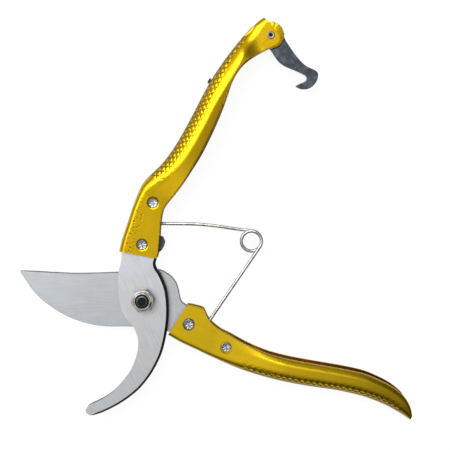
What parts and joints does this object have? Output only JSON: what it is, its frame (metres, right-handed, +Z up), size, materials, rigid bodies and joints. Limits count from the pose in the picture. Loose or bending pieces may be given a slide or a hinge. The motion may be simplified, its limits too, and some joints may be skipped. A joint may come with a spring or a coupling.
{
  "type": "bypass hand shears",
  "caption": "Bypass hand shears with a hook blade and a curved cutting blade on one bolt, pressed gold handles, a coiled opening spring and a swinging latch.",
  "frame": {"origin": "on the pivot bolt's axis, at the underside of its head, which the shears lie on", "axes": "+Z up along the bolt from head to nut; +X from the pivot back between the two handles, on the middle line of the open shears; +Y towards the handle of the hook blade"},
  "size_m": [0.1681, 0.2036, 0.0176],
  "materials": {
    "hook_steel": "satin, diagonal brushing",
    "blade_steel": "satin, lengthwise brushing",
    "bolt_steel": "zinc plated",
    "lock_nylon": "matte",
    "gold_lacquer": "glossy gold lacquer over bright metal",
    "rivet_steel": "zinc plated, peened",
    "stop_iron": "rough, dark",
    "spacer_steel": "plain",
    "spring_steel": "bright drawn wire",
    "latch_steel": "blued, satin",
    "eyelet_steel": "rolled, bright"
  },
  "bodies": {
    "hook_lever": {"hook_blade": "hook_steel", "pivot_bolt": "bolt_steel", "pivot_washer": "bolt_steel", "pivot_nut": "bolt_steel", "nut_lock_ring": "lock_nylon", "upper_handle": "gold_lacquer", "upper_front_rivet": "rivet_steel", "upper_rear_rivet": "rivet_steel", "stop_block": "stop_iron", "upper_spacer": "spacer_steel", "latch_eyelet": "eyelet_steel", "latch_detent_spring": "spring_steel", "detent_rivet": "gold_lacquer"},
    "blade_lever": {"cutting_blade": "blade_steel", "lower_handle": "gold_lacquer", "lower_front_rivet": "rivet_steel", "lower_rear_rivet": "rivet_steel", "lower_front_spacer": "spacer_steel", "lower_rear_spacer": "spacer_steel"},
    "spring_upper_part": {"spring_upper": "spring_steel"},
    "spring_lower_part": {"spring_lower": "spring_steel"},
    "latch_part": {"latch": "latch_steel"}
  },
  "joints": [
    {"name": "jaw_pivot", "type": "hinge", "parent": "hook_lever", "child": "blade_lever", "pos_m": [0, 0, 0.00575], "axis": [0, 0, 1], "range_deg": [0, 77.5], "stiffness_Nm_per_rad": 0.9, "springref_deg": -17.19},
    {"name": "spring_seat", "type": "hinge", "parent": "hook_lever", "child": "spring_upper_part", "pos_m": [0.0159, 0.03335, 0.00522], "axis": [0, 0, 1], "range_deg": [0, 54]},
    {"name": "spring_coil", "type": "hinge", "parent": "spring_upper_part", "child": "spring_lower_part", "pos_m": [0.05853, 0.00722, 0.00983], "axis": [0, 0, 1], "range_deg": [-46, 0]},
    {"name": "latch_pivot", "type": "hinge", "parent": "hook_lever", "child": "latch_part", "pos_m": [0.10289, 0.09475, 0.0075], "axis": [0, 0, 1], "range_deg": [-50, 55]}
  ],
  "couplings": [
    {"joint": "spring_seat", "follows": "jaw_pivot", "ratio": 0.681},
    {"joint": "spring_coil", "follows": "jaw_pivot", "ratio": -0.579}
  ]
}
